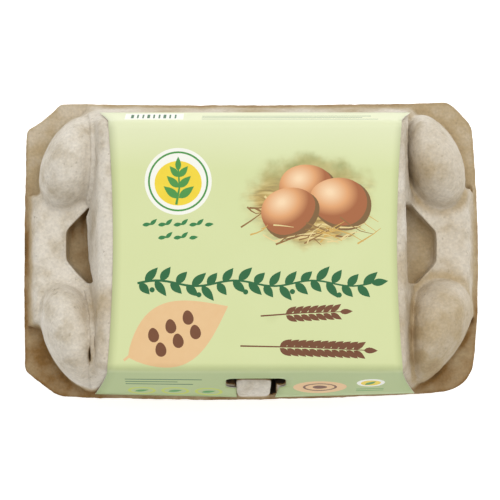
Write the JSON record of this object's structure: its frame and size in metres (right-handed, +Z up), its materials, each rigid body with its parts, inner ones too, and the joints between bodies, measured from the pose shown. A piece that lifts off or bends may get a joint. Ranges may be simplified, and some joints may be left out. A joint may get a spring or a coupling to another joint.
{
  "type": "egg carton",
  "caption": "Shut moulded-pulp egg carton with egg-shaped lid corners, a flat middle under a wrapped paper label, cupped feet and a tongue latch in front.",
  "frame": {"origin": "centre of the carton's footprint, on the surface that it stands on", "axes": "+X along the carton's length, to the right as seen from the latch; +Y from the latch towards the fold at the back; +Z up"},
  "size_m": [0.151, 0.0992, 0.0706],
  "materials": {
    "pulp": "rough undyed grey-beige moulded paper pulp",
    "label_paper": "semi-matt coated paper, printed pale green"
  },
  "bodies": {
    "root": {"carton": "pulp", "label": "label_paper"}
  },
  "joints": []
}
